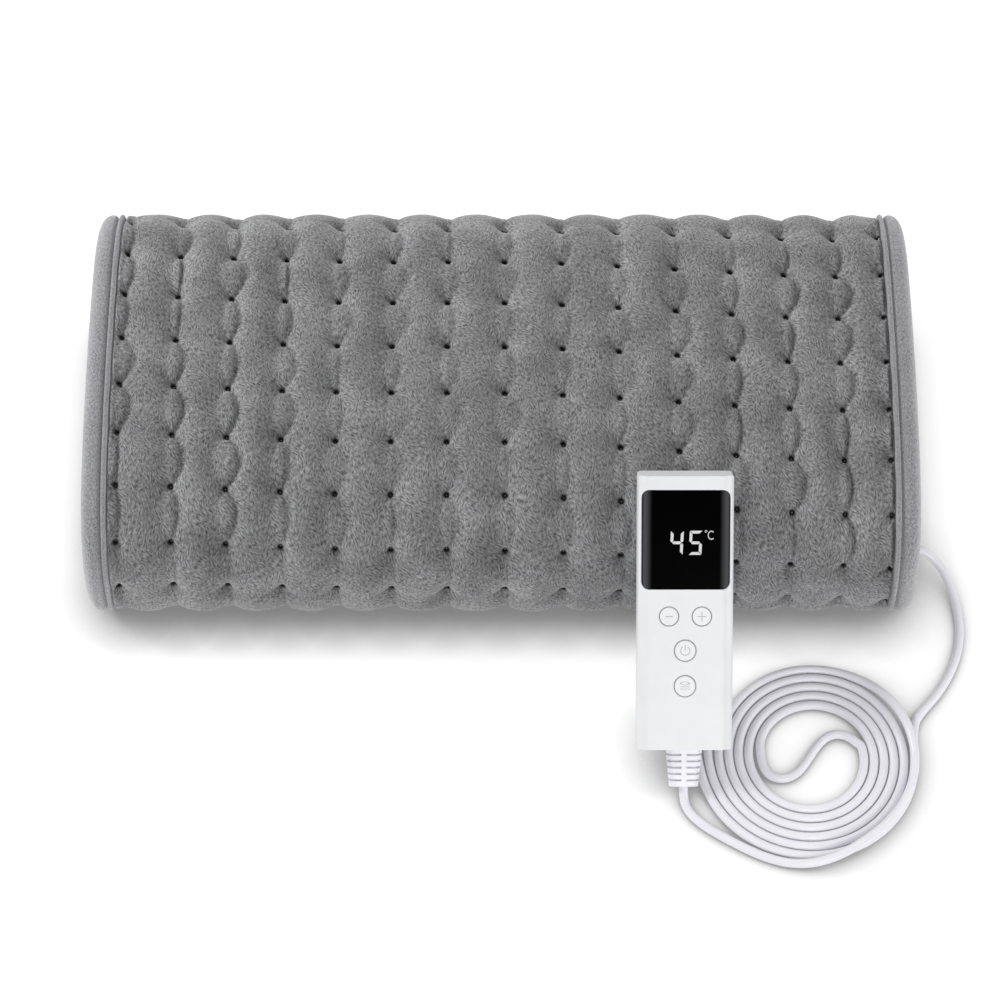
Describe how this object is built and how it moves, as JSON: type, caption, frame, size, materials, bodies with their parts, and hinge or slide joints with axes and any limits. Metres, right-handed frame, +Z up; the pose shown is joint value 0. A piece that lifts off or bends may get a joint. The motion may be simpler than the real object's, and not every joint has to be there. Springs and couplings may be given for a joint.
{
  "type": "heating pad with controller",
  "caption": "Plush quilted heating pad rolled flat, with a white wired hand controller with a display and round keys leaning on it and its coiled lead beside.",
  "frame": {"origin": "on the floor, under the middle of the rolled pad and the leaning controller together", "axes": "+X along the roll, from the left hem to the hem with the lead; +Y away from the viewer, from the controller to the back of the roll; +Z up"},
  "size_m": [0.4579, 0.357, 0.114],
  "materials": {
    "plush_front": "short swirled velvet pile",
    "plush_back": "short velvet pile",
    "hem": "smooth folded velvet with a stitched piping",
    "felt": "needled polyester felt",
    "wire_sleeve": "silicone sleeve, satin",
    "sensor_black": "satin",
    "case_white": "fine satin moulding",
    "lens_black": "polished, clear over black",
    "display_grey": "semi-gloss",
    "key_white": "fine satin moulding",
    "plunger_black": "satin",
    "switch_steel": "bright",
    "board_green": "solder mask",
    "capacitor_yellow": "epoxy",
    "fuse_glass": "clear",
    "screw_steel": "bright zinc",
    "lead_white": "smooth satin PVC, white with a faint lilac cast"
  },
  "bodies": {
    "pad_and_controller": {"pad_front_cover": "plush_front", "heating_carrier": "felt", "pad_back_cover": "plush_back", "hem_left": "hem", "hem_right": "hem", "heating_wire": "wire_sleeve", "temperature_sensor": "sensor_black", "thermal_cutout_1": "sensor_black", "thermal_cutout_2": "sensor_black", "pad_gland": "lead_white", "front_shell": "case_white", "back_shell": "case_white", "display_lens": "lens_black", "display_module": "display_grey", "circuit_board": "board_green", "film_capacitor": "capacitor_yellow", "power_thyristor": "sensor_black", "fuse": "fuse_glass", "handset_strain_relief": "lead_white", "lead_tail": "lead_white", "lead_clamp": "sensor_black", "lead_coil": "lead_white", "lead_to_handset": "lead_white", "lead_to_pad": "lead_white", "switch_minus": "switch_steel", "switch_plus": "switch_steel", "switch_power": "switch_steel", "switch_mode": "switch_steel", "case_screw_1": "screw_steel", "case_screw_2": "screw_steel", "case_screw_3": "screw_steel", "case_screw_4": "screw_steel"},
    "minus_key": {"key_minus": "key_white", "plunger_minus": "plunger_black"},
    "plus_key": {"key_plus": "key_white", "plunger_plus": "plunger_black"},
    "power_key": {"key_power": "key_white", "plunger_power": "plunger_black"},
    "mode_key": {"key_mode": "key_white", "plunger_mode": "plunger_black"}
  },
  "joints": [
    {"name": "minus_press", "type": "slide", "parent": "pad_and_controller", "child": "minus_key", "axis": [0, 0.6157, -0.788], "range_m": [0, 0.0005], "stiffness_N_per_m": 400},
    {"name": "plus_press", "type": "slide", "parent": "pad_and_controller", "child": "plus_key", "axis": [0, 0.6157, -0.788], "range_m": [0, 0.0005], "stiffness_N_per_m": 400},
    {"name": "power_press", "type": "slide", "parent": "pad_and_controller", "child": "power_key", "axis": [0, 0.6157, -0.788], "range_m": [0, 0.0005], "stiffness_N_per_m": 400},
    {"name": "mode_press", "type": "slide", "parent": "pad_and_controller", "child": "mode_key", "axis": [0, 0.6157, -0.788], "range_m": [0, 0.0005], "stiffness_N_per_m": 400}
  ]
}
